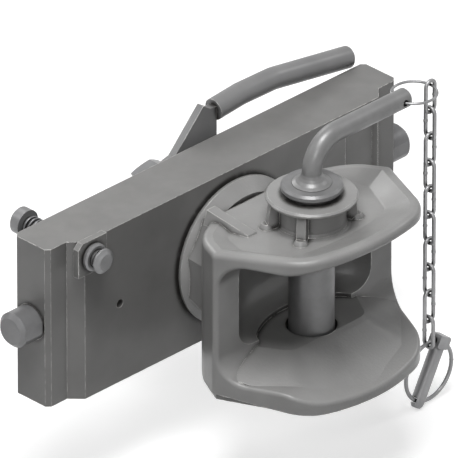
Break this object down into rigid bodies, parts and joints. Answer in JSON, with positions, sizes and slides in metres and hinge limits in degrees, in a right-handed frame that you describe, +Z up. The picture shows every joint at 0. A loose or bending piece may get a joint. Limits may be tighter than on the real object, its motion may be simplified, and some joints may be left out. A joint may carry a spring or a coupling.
{
  "type": "tractor clevis hitch",
  "caption": "Swivelling cast clevis jaw on a height-adjust carriage, with a handled drop pin on a chain, linch pin and spring locking bolts.",
  "frame": {"origin": "centre of the carriage plate's back face, on the swivel axis", "axes": "+X right seen from the towing side, +Y towards the tractor, +Z up; the jaw opens towards -Y"},
  "size_m": [0.3676, 0.2281, 0.2517],
  "materials": {
    "carriage_steel": "satin dark grey paint on milled steel",
    "cast_jaw": "satin grey paint on cast steel, rubbed bright on the edges",
    "lever_steel": "satin grey paint",
    "pin_steel": "ground hardened steel",
    "handle_steel": "plain round bar, bent",
    "bolt_steel": "turned steel",
    "turned_steel": "turned steel",
    "bronze": "bearing bronze",
    "spring_steel": "dark spring steel",
    "wire_steel": "drawn wire",
    "chain_zinc": "zinc plated",
    "linch_zinc": "zinc plated"
  },
  "bodies": {
    "carriage": {"carrier_plate": "carriage_steel", "clamp_plate": "carriage_steel", "pull_guide": "turned_steel", "front_bush": "bronze", "rear_bush": "bronze", "thrust_washer": "bronze", "lever_hub": "turned_steel", "lever_circlip": "spring_steel", "spring_seat_left": "turned_steel", "spring_seat_right": "turned_steel", "bolt_spring_left": "spring_steel", "bolt_spring_right": "spring_steel", "pull_spring": "spring_steel"},
    "jaw": {"jaw_casting": "cast_jaw", "swivel_washer": "turned_steel", "castle_nut": "turned_steel", "split_pin": "wire_steel"},
    "pin": {"coupling_pin": "pin_steel"},
    "handle": {"pin_handle": "handle_steel"},
    "ring": {"handle_ring": "wire_steel"},
    "lever": {"release_lever": "lever_steel", "lever_bar": "lever_steel"},
    "bolt_left": {"locking_bolt_left": "bolt_steel", "drive_pin_left": "turned_steel"},
    "bolt_right": {"locking_bolt_right": "bolt_steel", "drive_pin_right": "turned_steel"},
    "pull_pin": {"pull_knob": "turned_steel", "pull_cap": "turned_steel"},
    "linch_ring": {"linch_ring": "wire_steel"},
    "linch_pin": {"linch_pin": "linch_zinc"},
    "link_01": {"chain_link_01": "chain_zinc"},
    "link_02": {"chain_link_02": "chain_zinc"},
    "link_03": {"chain_link_03": "chain_zinc"},
    "link_04": {"chain_link_04": "chain_zinc"},
    "link_05": {"chain_link_05": "chain_zinc"},
    "link_06": {"chain_link_06": "chain_zinc"},
    "link_07": {"chain_link_07": "chain_zinc"},
    "link_08": {"chain_link_08": "chain_zinc"},
    "link_09": {"chain_link_09": "chain_zinc"},
    "link_10": {"chain_link_10": "chain_zinc"}
  },
  "joints": [
    {"name": "jaw_swivel", "type": "hinge", "parent": "carriage", "child": "jaw", "pos_m": [0, 0, 0], "axis": [0, 1, 0], "continuous": true},
    {"name": "pin_lift", "type": "slide", "parent": "jaw", "child": "pin", "axis": [0, 0, 1], "range_m": [0, 0.13]},
    {"name": "handle_turn", "type": "hinge", "parent": "pin", "child": "handle", "pos_m": [0, -0.1147, 0.09], "axis": [0, 0, 1], "range_deg": [-190, 15]},
    {"name": "ring_swing", "type": "hinge", "parent": "handle", "child": "ring", "pos_m": [0.0812, -0.1147, 0.1095], "axis": [0, 1, 0], "range_deg": [-45, 2]},
    {"name": "lever_lift", "type": "hinge", "parent": "carriage", "child": "lever", "pos_m": [0, 0.009, 0], "axis": [0, -1, 0], "range_deg": [0, 40], "stiffness_Nm_per_rad": 4, "springref_deg": -34.38},
    {"name": "bolt_left_slide", "type": "slide", "parent": "carriage", "child": "bolt_left", "axis": [1, 0, 0], "range_m": [0, 0.02], "deforming": ["bolt_spring_left"]},
    {"name": "bolt_right_slide", "type": "slide", "parent": "carriage", "child": "bolt_right", "axis": [-1, 0, 0], "range_m": [0, 0.02], "deforming": ["bolt_spring_right"]},
    {"name": "pull_pin_slide", "type": "slide", "parent": "carriage", "child": "pull_pin", "axis": [0, -1, 0], "range_m": [0, 0.006], "stiffness_N_per_m": 900, "springref_m": -0.006, "deforming": ["pull_spring"]},
    {"name": "link_01_swing", "type": "hinge", "parent": "ring", "child": "link_01", "pos_m": [0.1118, -0.1147, 0.1095], "axis": [0, 1, 0], "range_deg": [-12, 1]},
    {"name": "link_02_swing", "type": "hinge", "parent": "link_01", "child": "link_02", "pos_m": [0.1118, -0.1147, 0.08886], "axis": [-1, 0, 0], "range_deg": [-1, 12]},
    {"name": "link_03_swing", "type": "hinge", "parent": "link_02", "child": "link_03", "pos_m": [0.1118, -0.1147, 0.06872], "axis": [0, 1, 0], "range_deg": [-12, 1]},
    {"name": "link_04_swing", "type": "hinge", "parent": "link_03", "child": "link_04", "pos_m": [0.1118, -0.1147, 0.04858], "axis": [-1, 0, 0], "range_deg": [-1, 12]},
    {"name": "link_05_swing", "type": "hinge", "parent": "link_04", "child": "link_05", "pos_m": [0.1118, -0.1147, 0.02844], "axis": [0, 1, 0], "range_deg": [-12, 1]},
    {"name": "link_06_swing", "type": "hinge", "parent": "link_05", "child": "link_06", "pos_m": [0.1118, -0.1147, 0.0083], "axis": [-1, 0, 0], "range_deg": [-1, 12]},
    {"name": "link_07_swing", "type": "hinge", "parent": "link_06", "child": "link_07", "pos_m": [0.1118, -0.1147, -0.01184], "axis": [0, 1, 0], "range_deg": [-12, 1]},
    {"name": "link_08_swing", "type": "hinge", "parent": "link_07", "child": "link_08", "pos_m": [0.1118, -0.1147, -0.03198], "axis": [-1, 0, 0], "range_deg": [-1, 12]},
    {"name": "link_09_swing", "type": "hinge", "parent": "link_08", "child": "link_09", "pos_m": [0.1118, -0.1147, -0.05212], "axis": [0, 1, 0], "range_deg": [-12, 1]},
    {"name": "link_10_swing", "type": "hinge", "parent": "link_09", "child": "link_10", "pos_m": [0.1118, -0.1147, -0.07226], "axis": [-1, 0, 0], "range_deg": [-1, 12]},
    {"name": "linch_ring_swing", "type": "hinge", "parent": "link_10", "child": "linch_ring", "pos_m": [0.1118, -0.1147, -0.0924], "axis": [0, 1, 0], "range_deg": [-30, 2]},
    {"name": "linch_pin_open", "type": "hinge", "parent": "linch_ring", "child": "linch_pin", "pos_m": [0.12199, -0.1147, -0.09164], "axis": [-0.8829, 0, 0.4695], "range_deg": [0, 100]}
  ],
  "couplings": [
    {"joint": "bolt_left_slide", "follows": "lever_lift", "m_per_rad": 0.028648},
    {"joint": "bolt_right_slide", "follows": "lever_lift", "m_per_rad": 0.028648}
  ]
}
